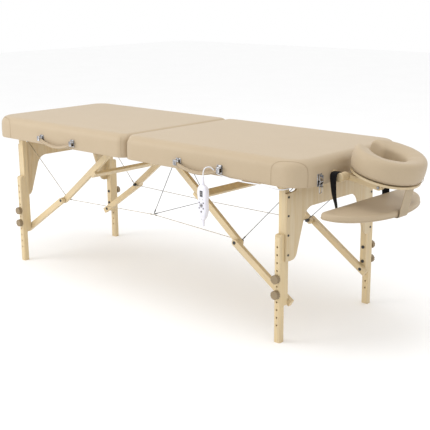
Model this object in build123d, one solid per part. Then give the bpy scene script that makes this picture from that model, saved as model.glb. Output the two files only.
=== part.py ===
"""Portable two-fold massage table with face cradle, arm shelf and corded heat remote.

Built about the centre hinge: X runs along the table (head end +X), Y across it
(far side +Y), Z up from the floor. Lengths are in millimetres. Each piece is
made there and then moved, so that the model's origin is under its middle.
"""

from build123d import *
from math import acos, atan2, cos, degrees, hypot, radians, sin, tan
import os

os.makedirs("parts", exist_ok=True)

# Where the model's origin stands, seen from the centre hinge
ORIGIN_X = 142
ORIGIN_Y = -29

# Table top
HALF_LENGTH = 970
WIDTH = 710
TOP_Z = 745
FRAME_Z = 640  # underside of the frame
DECK_Z = 689  # underside of the plywood deck
DECK_TOP = 695
SPLIT = 1  # half of the gap between the two cushions
CORNER_R = 90
HINGE_CORNER_R = 45
COVER = 4  # vinyl and thin foam on the frame's sides
RAIL = 10
END_RAIL = 18
CUSHION_EDGE_R = 14

# Centre fold
FOLD_Z = 634
KNUCKLE_R = 6
PIN_R = 2.5
RUN_GAP = 0.05  # radial clearance of a turning fit
HINGE_YS = (-200, 0, 200)
KNUCKLE_LENGTH = 16
KNUCKLES = 5

# Leg frames
LEG_X = 840
PIVOT_Z = 647
POST = 30  # along X
POST_Y0, POST_Y1 = 271, 295
POST_BOTTOM = 150
BOLT_R = 4
EXT_Y0, EXT_Y1 = 295.3, 321.3
EXT_HEIGHT = 440
HOLE_PITCH = 32
HOLE_COUNT = 11
FIRST_HOLE_Z = 72
HOLE_R = 4.25
HEIGHT_BOLT_ZS = (200, 264)
PANEL = 9
PANEL_SCREW_ZS = (356, 435, 512, 586)
KNOB_R = 18
KNOB_Y0, KNOB_LENGTH = 321.7, 17
KNOB_FLUTES = 12

# Braces: a four-bar linkage that lies flat when the legs are folded
HIP_X, HIP_Z = 160, 670
ANKLE_Z = 168
BRACE_DEPTH = 28
UPPER_Y0, UPPER_Y1 = 230, 248
LOWER_Y0, LOWER_Y1 = 250.5, 268.5
BRACE_SLACK = 0.3  # spare length that keeps the knee just past straight
BRACE_TAIL = 6  # from the knee to the middle of the long brace's round end
KNEE_SPLIT = 249.2  # the knee bolt is in two halves that meet here
CROSSBAR_AT = 240  # along the brace from the hip
CROSSBAR_WIDTH, CROSSBAR_DEPTH = 34, 14

# Support wires
WIRE_R = 1.5
NODE_Y, NODE_Z = 180, 355
CORNER_EYE_X, CORNER_EYE_Y = 922, 250

# Handles
HANDLE_XS = (346, 575)
HANDLE_PIN_Y, HANDLE_PIN_Z = -368, 668
GRIP_DROOP = 28
GRIP_R = 6.5

# Face cradle
PEG_Y, PEG_Z, PEG_R = 145, 661, 11
PEG_X0 = 905
HUB_X, HUB_R = 1004, 18
SHAFT_R = 8
ARM_END_X, ARM_END_Z = 1151, 636
ARM_DEPTH, ARM_Y0, ARM_Y1 = 22, 102, 114
BATTEN_Y0, BATTEN_Y1 = 88, 100
TILT = 15  # the pillow leans away from the table
PILLOW_X, PILLOW_Z = 1122, 712
PILLOW_AX, PILLOW_AY, PILLOW_T = 139, 150, 85
OPENING_AX, OPENING_AY, OPENING_SHIFT, MOUTH = 70, 62, -8, 84
PLATFORM_T = 9

# Arm shelf
SHELF_X0, SHELF_Z, SHELF_T = 1010, 553, 28
SHELF_DEPTH, SHELF_AY, SHELF_TILT = 180, 290, 4

# Heat remote and its cord
REMOTE_X, REMOTE_Y, REMOTE_T = 525, -400, 24
REMOTE_TOP, REMOTE_BOTTOM = 606, 461
KEY_RING_Z = 523
CORD_R = 2.5
GLAND = (900, -300)
CORD_ROUTE = [
    (900, -300, 662),
    (900, -300, 644),
    (893, -317, 629),
    (870, -348, 625),
    (826, -362, 633),
    (770, -361, 637),
    (714, -360.5, 634.5),
    (660, -360, 636),
    (617, -358.8, 640),
    (586, -358.2, 644.5),
    (560, -358.3, 648.5),
    (543, -359, 662),
    (533, -364, 672),
    (527, -376, 674),
    (525, -392, 670),
    (525, -400, 654),
    (525, -400, 637),
]


def save(node, *shapes):
    """Write one node, moved from the hinge's axes to the model's origin."""
    solids = [solid for shape in shapes for solid in shape.solids()]
    moved = [solid.moved(Location((-ORIGIN_X, -ORIGIN_Y, 0))) for solid in solids]
    shape = moved[0] if len(moved) == 1 else Compound(moved)
    export_step(shape, f"parts/{node}.step")


def on_side(shape, side):
    """A shape made for the head half (+1), or its mirror image on the foot half (-1)."""
    return shape if side > 0 else mirror(shape, about=Plane.YZ)


def both_ys(shape):
    """The far-side shape and its near-side mirror image."""
    return [shape, mirror(shape, about=Plane.XZ)]


def block(x0, x1, y0, y1, z0, z1):
    """A box between two corners."""
    middle = Pos((x0 + x1) / 2, (y0 + y1) / 2, (z0 + z1) / 2)
    return middle * Box(x1 - x0, y1 - y0, z1 - z0)


def rod_y(x, z, y0, y1, radius):
    """A round bar along Y."""
    return Pos(x, (y0 + y1) / 2, z) * Rot(90, 0, 0) * Cylinder(radius, y1 - y0)


def rod_x(y, z, x0, x1, radius):
    """A round bar along X."""
    return Pos((x0 + x1) / 2, y, z) * Rot(0, 90, 0) * Cylinder(radius, x1 - x0)


def half_plan(inset):
    """Plan of the head half: large corners at the end, small ones at the hinge."""
    x0, x1 = SPLIT + inset, HALF_LENGTH - inset
    plan = Pos((x0 + x1) / 2, 0) * Rectangle(x1 - x0, WIDTH - 2 * inset)
    plan = fillet(plan.vertices().group_by(Axis.X)[-1], CORNER_R - inset)
    return fillet(plan.vertices().group_by(Axis.X)[0], HINGE_CORNER_R - inset)


def band(outer, inner, z0, z1):
    """A rim between two insets of the plan, cut into its straight and round stretches."""
    rim = extrude(half_plan(outer) - half_plan(inner), z1 - z0).moved(Location((0, 0, z0)))
    end, side = HALF_LENGTH - CORNER_R, WIDTH / 2 - CORNER_R
    hinge, hinge_side = SPLIT + HINGE_CORNER_R, WIDTH / 2 - HINGE_CORNER_R
    half = WIDTH / 2
    corners = [
        block(end, HALF_LENGTH, side, half, z0, z1),
        block(0, hinge, hinge_side, half, z0, z1),
        block(hinge, end, side, half, z0, z1),
    ]
    pieces = [rim & corner for cut in corners for corner in both_ys(cut)]
    return pieces, rim & block(end, HALF_LENGTH, -side, side, z0, z1)


def peg_holes(radius):
    """Cutters for the two cradle sockets through the head end."""
    return [rod_x(y, PEG_Z, 930, 975, radius) for y in (-PEG_Y, PEG_Y)]


def cushion(side):
    """Foam slab in vinyl, and the padded vinyl that wraps the frame's sides."""
    slab = extrude(half_plan(0), TOP_Z - DECK_TOP).moved(Location((0, 0, DECK_TOP)))
    slab = fillet(slab.edges().group_by(Axis.Z)[-1], CUSHION_EDGE_R)
    sides, end = band(0, COVER, FRAME_Z, DECK_TOP)
    if side > 0:
        for hole in peg_holes(14):
            end = end - hole
    return [on_side(piece, side) for piece in (slab, *sides, end)]


def frame(side):
    """Side rails, end rail, hinge rail, corner blocks and plywood deck."""
    sides, _ = band(COVER, COVER + RAIL, FRAME_Z, DECK_Z)
    end_y = WIDTH / 2 - CORNER_R
    end = block(
        HALF_LENGTH - COVER - END_RAIL, HALF_LENGTH - COVER, -end_y, end_y, FRAME_Z, DECK_Z
    )
    if side > 0:
        for hole in peg_holes(14):
            end = end - hole
    hinge_y = WIDTH / 2 - HINGE_CORNER_R
    hinge = block(SPLIT + COVER + 1, 24, -hinge_y, hinge_y, FRAME_Z, DECK_Z)
    deck = extrude(half_plan(COVER), DECK_TOP - DECK_Z).moved(Location((0, 0, DECK_Z)))
    return [on_side(piece, side) for piece in (*sides, end, hinge, deck)]


def hinge_leaves(side):
    """Three leaves under the hinge rail with alternate knuckles round the fold axis."""
    leaves = []
    for middle in HINGE_YS:
        first = middle - KNUCKLES * KNUCKLE_LENGTH / 2
        leaf = block(7, 24, first, first + KNUCKLES * KNUCKLE_LENGTH, FRAME_Z - 2, FRAME_Z)
        for k in range(0 if side < 0 else 1, KNUCKLES, 2):
            y0 = first + k * KNUCKLE_LENGTH + 0.2
            y1 = y0 + KNUCKLE_LENGTH - 0.4
            leaf += rod_y(0, FOLD_Z, y0, y1, KNUCKLE_R)
            leaf += block(0, 8, y0, y1, FRAME_Z - 2, FRAME_Z)
        bore = rod_y(0, FOLD_Z, first - 5, first + 90, PIN_R + RUN_GAP)
        leaves.append(leaf - bore)
    return [on_side(leaf, side) for leaf in leaves]


def fold_pins():
    """The three pins that both halves turn on."""
    reach = KNUCKLES * KNUCKLE_LENGTH / 2
    pins = []
    for middle in HINGE_YS:
        pin = rod_y(0, FOLD_Z, middle - reach - 2, middle + reach + 2, PIN_R)
        head = rod_y(0, FOLD_Z, middle + reach + 0.5, middle + reach + 2, KNUCKLE_R - 1)
        pins.append(pin + head)
    return pins


def angle_bracket(x, z, y_plate, inward):
    """A steel angle under the deck: a plate for the pivot and a flange on the deck."""
    plate = block(x - 16, x + 16, y_plate, y_plate + 3, z - 14, DECK_Z)
    y0, y1 = sorted((y_plate + 1.5, y_plate + 1.5 + inward))
    return plate + block(x - 16, x + 16, y0, y1, DECK_Z - 3, DECK_Z)


def pivot_brackets(side):
    """Leg and brace brackets with their pivot bolts, and the eyes of the corner wires."""
    leg = angle_bracket(LEG_X, PIVOT_Z, 262, -26)
    leg += rod_y(LEG_X, PIVOT_Z, 263, 299, BOLT_R)
    leg += rod_y(LEG_X, PIVOT_Z, POST_Y1 + 1, 299, 7)
    hip = angle_bracket(HIP_X, HIP_Z, 225, -28)
    hip += rod_y(HIP_X, HIP_Z, 226, 252, BOLT_R)
    hip += rod_y(HIP_X, HIP_Z, UPPER_Y1 + 0.6, 252, 7)
    eye = Pos(CORNER_EYE_X, CORNER_EYE_Y, DECK_Z - 5) * Cylinder(5, 10)
    made = [piece for shape in (leg, hip, eye) for piece in both_ys(shape)]
    return [on_side(piece, side) for piece in made]


def posts(side):
    """The two upper legs, round at the pivot, cut away at the outer foot."""
    post = block(
        LEG_X - POST / 2, LEG_X + POST / 2, POST_Y0, POST_Y1, POST_BOTTOM, PIVOT_Z
    )
    post += rod_y(LEG_X, PIVOT_Z, POST_Y0, POST_Y1, POST / 2)
    post = chamfer(
        post.edges().group_by(Axis.Z)[0].filter_by(Axis.X).sort_by(Axis.Y)[0], 10
    )
    post -= rod_y(LEG_X, PIVOT_Z, POST_Y0 - 1, POST_Y1 + 1, BOLT_R + RUN_GAP)
    for z in HEIGHT_BOLT_ZS:
        post -= rod_y(LEG_X, z, POST_Y0 - 1, POST_Y1 + 1, HOLE_R)
    post -= rod_y(LEG_X, ANKLE_Z, POST_Y0 - 1, POST_Y1 + 1, HOLE_R)
    return [on_side(piece, side) for piece in both_ys(post)]


def end_panel(side):
    """The arched plywood panel that joins the two upper legs."""
    half = [(295, 330), (295, 600), (238, 604), (212, 652)]
    arch = [(172, 527), (236, 330)]
    points = half + [(-y, z) for y, z in reversed(half)]
    points += [(-y, z) for y, z in reversed(arch)] + arch
    sheet = make_face(Polyline(*points, close=True))

    def near(spots):
        return [
            v for v in sheet.vertices() if any(hypot(abs(v.X) - y, v.Y - z) < 1 for y, z in spots)
        ]

    sheet = fillet(near([(172, 527)]), 55)
    sheet = fillet(near([(236, 330)]), 32)
    sheet = fillet(near([(238, 604), (212, 652)]), 18)
    panel = extrude(Plane.YZ * sheet, PANEL).moved(Location((LEG_X + POST / 2, 0, 0)))
    return [on_side(panel, side)]


def leg_fasteners(side):
    """Panel screws, height bolts and the ankle bolts that the short braces turn on."""
    made = []
    face = LEG_X + POST / 2 + PANEL
    for z in PANEL_SCREW_ZS:
        made.append(rod_x(284, z, face, face + 2, 4.5))
    for z in HEIGHT_BOLT_ZS:
        bolt = rod_y(LEG_X, z, POST_Y0 - 4, POST_Y0, 7)
        made.append(bolt + rod_y(LEG_X, z, POST_Y0 - 1, KNOB_Y0 + 11, BOLT_R))
    ankle = rod_y(LEG_X, ANKLE_Z, LOWER_Y0 - 1, POST_Y1 - 1, BOLT_R)
    ankle += rod_y(LEG_X, ANKLE_Z, LOWER_Y0 - 2, LOWER_Y0 - 0.2, 7)
    made.append(ankle + rod_y(LEG_X, ANKLE_Z, LOWER_Y1 + 0.2, POST_Y0, 7))
    return [on_side(piece, side) for shape in made for piece in both_ys(shape)]


def extension(side, y_side):
    """A lower leg with its row of height holes, rounded on its outer face."""
    leg = block(LEG_X - POST / 2, LEG_X + POST / 2, EXT_Y0, EXT_Y1, 0, EXT_HEIGHT)
    outer = [e for e in leg.edges().filter_by(Axis.Z) if e.center().Y > EXT_Y1 - 1]
    leg = fillet(outer, 7)
    leg -= Pos(LEG_X, EXT_Y1, EXT_HEIGHT) * Rot(45, 0, 0) * Box(2 * POST, 14, 14)
    for k in range(HOLE_COUNT):
        z = FIRST_HOLE_Z + k * HOLE_PITCH
        leg -= rod_y(LEG_X, z, EXT_Y0 - 1, EXT_Y1 + 1, HOLE_R)
    return on_side(leg if y_side > 0 else mirror(leg, about=Plane.XZ), side)


def knob(side, y_side, z):
    """A fluted round nut on a height bolt."""
    outline = Circle(KNOB_R)
    for k in range(KNOB_FLUTES):
        turn = radians(360 / KNOB_FLUTES * k)
        outline -= Pos((KNOB_R + 1.6) * cos(turn), (KNOB_R + 1.6) * sin(turn)) * Circle(3)
    body = extrude(outline, KNOB_LENGTH)
    body -= Cylinder(BOLT_R + RUN_GAP, 24)
    # the sketch's Z becomes the bolt's outward direction
    body = Pos(LEG_X, KNOB_Y0, z) * Rot(-90, 0, 0) * body
    return on_side(body if y_side > 0 else mirror(body, about=Plane.XZ), side)


def linkage():
    """Knee of the unfolded linkage, and the lengths and angles of its two braces."""
    span = hypot(LEG_X - HIP_X, HIP_Z - ANKLE_Z)
    both = span + 2 * BRACE_SLACK
    # folded, the upper brace is level and the ankle has come in along the frame
    gap = HIP_X - (LEG_X - PIVOT_Z + ANKLE_Z)
    rise = HIP_Z - PIVOT_Z
    upper = (both**2 - gap**2 - rise**2) / (2 * (both + gap))
    lower = both - upper
    bend = acos((upper**2 + span**2 - lower**2) / (2 * upper * span))
    upper_angle = -atan2(HIP_Z - ANKLE_Z, LEG_X - HIP_X) - bend
    knee = (HIP_X + upper * cos(upper_angle), HIP_Z + upper * sin(upper_angle))
    lower_angle = atan2(ANKLE_Z - knee[1], LEG_X - knee[0])
    return knee, upper, lower, upper_angle, lower_angle


def bar(x, z, angle, start, end, y0, y1, depth):
    """A straight bar from a pivot, along an angle in the XZ plane."""
    body = Pos((start + end) / 2, (y0 + y1) / 2, 0) * Box(end - start, y1 - y0, depth)
    return Pos(x, 0, z) * Rot(0, -degrees(angle), 0) * body


def upper_braces(side):
    """The two long braces and the crossbar screwed under them."""
    knee, upper, _, angle, _ = linkage()
    reach = upper + BRACE_TAIL
    tail = (HIP_X + reach * cos(angle), HIP_Z + reach * sin(angle))
    brace = bar(HIP_X, HIP_Z, angle, 0, reach, UPPER_Y0, UPPER_Y1, BRACE_DEPTH)
    brace += rod_y(HIP_X, HIP_Z, UPPER_Y0, UPPER_Y1, BRACE_DEPTH / 2)
    brace += rod_y(*tail, UPPER_Y0, UPPER_Y1, BRACE_DEPTH / 2)
    brace -= rod_y(HIP_X, HIP_Z, UPPER_Y0 - 1, UPPER_Y1 + 1, BOLT_R + RUN_GAP)
    brace -= rod_y(*knee, UPPER_Y0 - 1, UPPER_Y1 + 1, HOLE_R)
    low = Pos(0, 0, -(BRACE_DEPTH + CROSSBAR_DEPTH) / 2)
    crossbar = Box(CROSSBAR_WIDTH, 2 * UPPER_Y1 + 2, CROSSBAR_DEPTH)
    at = Pos(HIP_X, 0, HIP_Z) * Rot(0, -degrees(angle), 0) * Pos(CROSSBAR_AT, 0, 0)
    return [on_side(piece, side) for piece in (*both_ys(brace), at * low * crossbar)]


def knee_fittings(side):
    """The long braces' half of the knee bolts, with the black wire nuts on their inner ends."""
    knee, *_ = linkage()
    bolt = rod_y(*knee, UPPER_Y0 - 1, KNEE_SPLIT, BOLT_R)
    bolt += rod_y(*knee, UPPER_Y0 - 14, UPPER_Y0, 7)
    return [on_side(piece, side) for piece in both_ys(bolt)]


def brace_bolts(side):
    """The short braces' half of the knee bolts, with their heads."""
    knee, *_ = linkage()
    bolt = rod_y(*knee, KNEE_SPLIT + 0.1, LOWER_Y1 + 0.3, BOLT_R)
    bolt += rod_y(*knee, LOWER_Y1 + 0.2, LOWER_Y1 + 2, 7)
    return [on_side(piece, side) for piece in both_ys(bolt)]


def lower_braces(side):
    """The two short braces, from the knees to the insides of the legs."""
    knee, _, lower, _, angle = linkage()
    brace = bar(*knee, angle, 0, lower + 28, LOWER_Y0, LOWER_Y1, BRACE_DEPTH)
    brace += rod_y(*knee, LOWER_Y0, LOWER_Y1, BRACE_DEPTH / 2)
    brace -= rod_y(*knee, LOWER_Y0 - 1, LOWER_Y1 + 1, HOLE_R)
    brace -= rod_y(LEG_X, ANKLE_Z, LOWER_Y0 - 1, LOWER_Y1 + 1, BOLT_R + RUN_GAP)
    return [on_side(piece, side) for piece in both_ys(brace)]


def wire(*points):
    """A straight-run steel wire, one round bar for each run, joined by balls."""
    body = None
    for a, b in zip(points, points[1:]):
        run = Vector(*b) - Vector(*a)
        plane = Plane(origin=a, z_dir=run)
        part = extrude(plane * Circle(WIRE_R), run.length)
        body = part if body is None else body + part
    for spot in points[1:-1]:
        body += Pos(*spot) * Sphere(WIRE_R * 1.6)
    return body


def support_wires():
    """Corner wires, side wires and the wires that hang from the middle of the hinge."""
    knee, *_ = linkage()
    knee_y = UPPER_Y0 - 8
    wires = []
    for x in (-1, 1):
        for y in (-1, 1):
            start = (x * (knee[0] + 6), y * knee_y, knee[1] + 8)
            wires.append(wire(start, (x * CORNER_EYE_X, y * CORNER_EYE_Y, DECK_Z - 12)))
    for y in (-1, 1):
        ends = [(x * (knee[0] - 8), y * knee_y, knee[1] + 2) for x in (-1, 1)]
        wires.append(wire(ends[0], (0, y * NODE_Y, NODE_Z), ends[1]))
    near, far = (0, -NODE_Y + 4, NODE_Z + 3), (0, NODE_Y - 4, NODE_Z + 3)
    wires.append(wire((0, -12, 622), near, far, (0, 12, 622)))
    return wires


def handle_plates(side):
    """Chrome end plates of the carrying handle with the pins that it swings on."""
    made = []
    for x, out in zip(HANDLE_XS, (-1, 1)):
        plate = block(x - 14, x + 14, -357, -355, HANDLE_PIN_Z - 16, HANDLE_PIN_Z + 16)
        x0, x1 = sorted((x + out * 11, x + out * 14))
        plate += block(x0, x1, -374, -356, HANDLE_PIN_Z - 8, HANDLE_PIN_Z + 8)
        x0, x1 = sorted((x - out * 9, x + out * 12))
        plate += rod_x(HANDLE_PIN_Y, HANDLE_PIN_Z, x0, x1, 2)
        made.append(on_side(plate, side))
    return made


def handle_grip(side):
    """A padded vinyl grip that droops between its two end plates."""
    x0, x1 = HANDLE_XS[0] + 6, HANDLE_XS[1] - 6
    middle = (x0 + x1) / 2
    low = HANDLE_PIN_Z - GRIP_DROOP
    path = ThreePointArc(
        (x0, HANDLE_PIN_Y, HANDLE_PIN_Z - 3),
        (middle, HANDLE_PIN_Y, low),
        (x1, HANDLE_PIN_Y, HANDLE_PIN_Z - 3),
    )
    section = Plane(origin=path @ 0, z_dir=path % 0) * Circle(GRIP_R)
    grip = sweep(section, path=path)
    for x in HANDLE_XS:
        grip += rod_x(HANDLE_PIN_Y, HANDLE_PIN_Z, x - 9, x + 9, GRIP_R)
        grip -= rod_x(HANDLE_PIN_Y, HANDLE_PIN_Z, x - 30, x + 30, 2 + RUN_GAP)
    return [on_side(grip, side)]


def latch_bases():
    """Draw latch base plates on the head end, with their pivot pins."""
    made = []
    for y in (-237, 237):
        base = block(HALF_LENGTH, HALF_LENGTH + 2, y - 14, y + 14, 636, 684)
        for edge in (-13, 11):
            base += block(HALF_LENGTH + 1, 979, y + edge, y + edge + 2, 664, 676)
        made.append(base + rod_y(975.5, 670, y - 12, y + 12, 1.5))
    return made


def latch_lever(y):
    """A chrome lever with the wire loop that hangs from it."""
    lever = block(973.5, 976.5, y - 10, y + 10, 640, 670) + rod_y(975.5, 670, y - 10, y + 10, 3.4)
    lever -= rod_y(975.5, 670, y - 15, y + 15, 1.5 + RUN_GAP)
    loop = block(975, 978, y - 9, y - 6.5, 612, 650) + block(975, 978, y + 6.5, y + 9, 612, 650)
    return lever + loop + block(975, 978, y - 9, y + 9, 610, 613)


def latch_keepers():
    """Hooks on the foot end that the wire loops catch when the table is shut."""
    made = []
    for y in (-237, 237):
        plate = block(-972, -970, y - 14, y + 14, 650, 680)
        made.append(plate + block(-977, -971, y - 5, y + 5, 668, 671))
    return made


def cradle_sockets():
    """Round wooden plates and sleeves that the cradle's pegs slide in."""
    made = []
    for y in (-PEG_Y, PEG_Y):
        socket = rod_x(y, PEG_Z, HALF_LENGTH, HALF_LENGTH + 6, 24)
        socket += rod_x(y, PEG_Z, 896, HALF_LENGTH + 1, 13.5)
        made.append(socket - rod_x(y, PEG_Z, 880, 990, PEG_R + RUN_GAP))
    return made


def cradle_base():
    """Two pegs, two hubs and the shaft across them, glued up as one piece."""
    body = rod_y(HUB_X, PEG_Z, -130, 130, SHAFT_R)
    for y_side in (-1, 1):
        y0, y1 = sorted((y_side * 116, y_side * (145.5 if y_side < 0 else 160)))
        body += rod_y(HUB_X, PEG_Z, y0, y1, HUB_R)
    body += rod_y(HUB_X, PEG_Z, -158, -140, 4)
    body += rod_x(PEG_Y, PEG_Z, PEG_X0, HUB_X, PEG_R)
    body += rod_x(-PEG_Y, PEG_Z, PEG_X0, HUB_X - HUB_R - 0.5, PEG_R)
    # a cheek joins the near peg to its hub, behind the knob
    body += block(HUB_X - 24, HUB_X, -145.5, -134, PEG_Z - 11, PEG_Z + 11)
    return [body]


def cradle_knob():
    """The round wooden knob that clamps the cradle's angle."""
    body = rod_y(HUB_X, PEG_Z, -160, -146, HUB_R)
    return [body - rod_y(HUB_X, PEG_Z, -158.4, -144, 4 + RUN_GAP)]


def cradle_arms():
    """Two flat arms on the shaft and the pins at their outer ends."""
    length = hypot(ARM_END_X - HUB_X, ARM_END_Z - PEG_Z)
    angle = atan2(ARM_END_Z - PEG_Z, ARM_END_X - HUB_X)
    arm = bar(HUB_X, PEG_Z, angle, 0, length, ARM_Y0, ARM_Y1, ARM_DEPTH)
    arm += rod_y(HUB_X, PEG_Z, ARM_Y0, ARM_Y1, 13)
    arm += rod_y(ARM_END_X, ARM_END_Z, ARM_Y0, ARM_Y1, ARM_DEPTH / 2)
    arm -= rod_y(HUB_X, PEG_Z, ARM_Y0 - 1, ARM_Y1 + 1, SHAFT_R + RUN_GAP)
    arm += rod_y(ARM_END_X, ARM_END_Z, BATTEN_Y0 - 3, ARM_Y1 + 3, 3)
    return both_ys(arm)


def cradle_plan(inset):
    """Horseshoe outline, open towards the table."""
    outer = Ellipse(PILLOW_AX - inset, PILLOW_AY - inset)
    hole = Pos(OPENING_SHIFT, 0) * Ellipse(OPENING_AX + inset, OPENING_AY + inset)
    mouth = Pos(-PILLOW_AX, 0) * Rectangle(2 * PILLOW_AX, MOUTH + 2 * inset)
    mouth = mouth & (Pos(-PILLOW_AX / 2, 0) * Rectangle(PILLOW_AX * 1.2, MOUTH * 2))
    return outer - hole - mouth


def cradle_frame():
    """The pillow's own axes: its middle, leaning away from the table."""
    return Pos(PILLOW_X, 0, PILLOW_Z) * Rot(0, TILT, 0)


def cradle_platform():
    """Plywood horseshoe with the two battens that carry it."""
    low = -PILLOW_T / 2 - 0.3 - PLATFORM_T
    plate = cradle_frame() * Pos(0, 0, low) * extrude(cradle_plan(4), PLATFORM_T)
    angle = -radians(TILT)
    made = plate
    for y0 in (BATTEN_Y0, -BATTEN_Y1):
        batten = bar(
            ARM_END_X, ARM_END_Z, angle, -105, 0, y0, y0 + BATTEN_Y1 - BATTEN_Y0, ARM_DEPTH
        )
        batten += rod_y(ARM_END_X, ARM_END_Z, y0, y0 + BATTEN_Y1 - BATTEN_Y0, ARM_DEPTH / 2)
        batten -= rod_y(ARM_END_X, ARM_END_Z, y0 - 1, y0 + 20, 3 + RUN_GAP)
        made += batten
    return [made]


def face_pillow():
    """The horseshoe face pillow as a plain closed solid."""
    body = extrude(cradle_plan(0), PILLOW_T)
    return [cradle_frame() * Pos(0, 0, -PILLOW_T / 2) * body]


def arm_shelf():
    """A padded half-ellipse shelf that slopes a little away from the table."""
    plan = Ellipse(SHELF_DEPTH, SHELF_AY) & (
        Pos(SHELF_DEPTH, 0) * Rectangle(2 * SHELF_DEPTH, 3 * SHELF_AY)
    )
    body = extrude(plan, SHELF_T)
    return [Pos(SHELF_X0, 0, SHELF_Z) * Rot(0, SHELF_TILT, 0) * Pos(0, 0, -SHELF_T) * body]


def shelf_straps():
    """Webbing from the two pegs and from the cradle's platform down to the shelf."""
    made = []
    for y in (-1, 1):
        y0, y1 = sorted((y * 173, y * 176))
        strap = block(972, 996, y0, y1, 554, 678)
        y0, y1 = sorted((y * 126, y * 174))
        strap += block(978, 984, y0, y1, 675, 678)
        y0, y1 = sorted((y * 173, y * 176))
        strap += block(972, 1016, y0, y1, 553.5, 556)
        made.append(strap)
    made.append(block(1193, 1196, -25, 25, 541, 612))
    return made


def cord_path():
    """Straight runs joined by arcs as large as the runs allow, and its radii."""
    points = [Vector(*p) for p in CORD_ROUTE]
    radii = []
    for a, b, c in zip(points, points[1:], points[2:]):
        turn = radians((b - a).get_angle(c - b))
        radii.append(0.45 * min((b - a).length, (c - b).length) / tan(turn / 2))
    return FilletPolyline(*points, radius=radii), radii


def remote_cord():
    """The remote's cord, from the gland under the head half over the handle."""
    path, radii = cord_path()
    tube = sweep(Plane(origin=path @ 0, z_dir=path % 0) * Circle(CORD_R), path=path)
    print("cord radii", [round(r, 1) for r in radii])
    print("cord length", round(path.length, 1), "turns need radius", CORD_R * 6)
    section = 3.14159265 * CORD_R**2
    print("cord volume over section times length", round(tube.volume / section / path.length, 4))
    return [tube]


def cord_gland():
    """The round gland under the deck that the cord comes out of."""
    x, y = GLAND
    return [Pos(x, y, (662 + DECK_Z) / 2) * Cylinder(7, DECK_Z - 662)]


def remote_shell():
    """The remote's moulded body, waisted, with a strain relief at each end."""
    half = [(12, REMOTE_TOP), (25, REMOTE_TOP - 16), (25, 556), (21, 535), (25, 512), (12, REMOTE_BOTTOM)]
    points = half + [(-x, z) for x, z in reversed(half)]
    outline = make_face(Polyline(*points, close=True))
    outline = fillet(outline.vertices(), 7)
    body = extrude(Plane.XZ * outline, REMOTE_T / 2, both=True)
    body = fillet(body.faces().sort_by(Axis.Y)[0].edges(), 3)
    body = Pos(REMOTE_X, REMOTE_Y, 0) * body
    top = Pos(REMOTE_X, REMOTE_Y, (REMOTE_TOP + 637) / 2 - 2) * Cylinder(5, 637 - REMOTE_TOP + 4)
    tail = Pos(REMOTE_X, REMOTE_Y, (REMOTE_BOTTOM + 434) / 2 + 2) * Cylinder(5, REMOTE_BOTTOM - 434 + 4)
    body += top
    body += tail
    for x, z, radius in key_places():
        body -= rod_y(x, z, REMOTE_Y - REMOTE_T, REMOTE_Y - REMOTE_T / 2 + 4, radius + 0.35)
    return [body]


def key_places():
    """Centre and radius of each key: four round the ring key, and one below."""
    spots = [(REMOTE_X + 11 * x, KEY_RING_Z + 11 * z, 3.2) for z in (1, -1) for x in (-1, 1)]
    return [*spots, (REMOTE_X, KEY_RING_Z, 5), (REMOTE_X, KEY_RING_Z - 25, 4)]


def remote_key(x, z, radius):
    """One round key, proud of the remote's face."""
    face = REMOTE_Y - REMOTE_T / 2
    return rod_y(x, z, face - 1.2, face + 2.5, radius)


def main():
    for name, side in (("foot", -1), ("head", 1)):
        save(f"{name}_cushion", *cushion(side))
        save(f"{name}_frame", *frame(side))
        save(f"{name}_hinge_leaves", *hinge_leaves(side))
        save(f"{name}_pivot_brackets", *pivot_brackets(side))
        save(f"{name}_handle_grip", *handle_grip(side))
        save(f"{name}_leg_posts", *posts(side))
        save(f"{name}_end_panel", *end_panel(side))
        save(f"{name}_leg_fasteners", *leg_fasteners(side))
        save(f"{name}_upper_braces", *upper_braces(side))
        save(f"{name}_lower_braces", *lower_braces(side))
        save(f"{name}_knee_fittings", *knee_fittings(side))
        save(f"{name}_brace_bolts", *brace_bolts(side))
        for where, y_side in (("near", -1), ("far", 1)):
            save(f"{name}_{where}_leg_extension", extension(side, y_side))
            for level, z in zip(("lower", "upper"), HEIGHT_BOLT_ZS):
                save(f"{name}_{where}_{level}_knob", knob(side, y_side, z))
    save("fold_pins", *fold_pins())
    save("foot_chrome_fittings", *handle_plates(-1), *latch_keepers())
    save("head_chrome_fittings", *handle_plates(1), *latch_bases())
    save("near_latch_lever", latch_lever(-237))
    save("far_latch_lever", latch_lever(237))
    save("support_wires", *support_wires())
    save("cradle_sockets", *cradle_sockets())
    save("cradle_base", *cradle_base())
    save("cradle_lock_knob", *cradle_knob())
    save("cradle_arms", *cradle_arms())
    save("cradle_platform", *cradle_platform())
    save("face_pillow", *face_pillow())
    save("arm_shelf", *arm_shelf())
    save("shelf_straps", *shelf_straps())
    save("cord_gland", *cord_gland())
    save("remote_cord", *remote_cord())
    save("remote_shell", *remote_shell())
    names = ("key_up_left", "key_up_right", "key_down_left", "key_down_right", "key_power", "key_heat")
    for key, (x, z, radius) in zip(names, key_places()):
        save(f"remote_{key}", remote_key(x, z, radius))
    knee, upper, lower, upper_angle, lower_angle = linkage()
    print("knee", knee, "upper", upper, "lower", lower)
    print("upper angle", degrees(upper_angle), "lower angle", degrees(lower_angle))


main()
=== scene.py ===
"""Looks of a folding massage table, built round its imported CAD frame.

Sizes in the functions are millimetres from the table's centre hinge: X runs to the
head end, Y to the far side, Z up from the floor. at() turns them into the row frame.
"""

import math

import bmesh
import bpy
from mathutils import Matrix, Vector, noise


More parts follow.
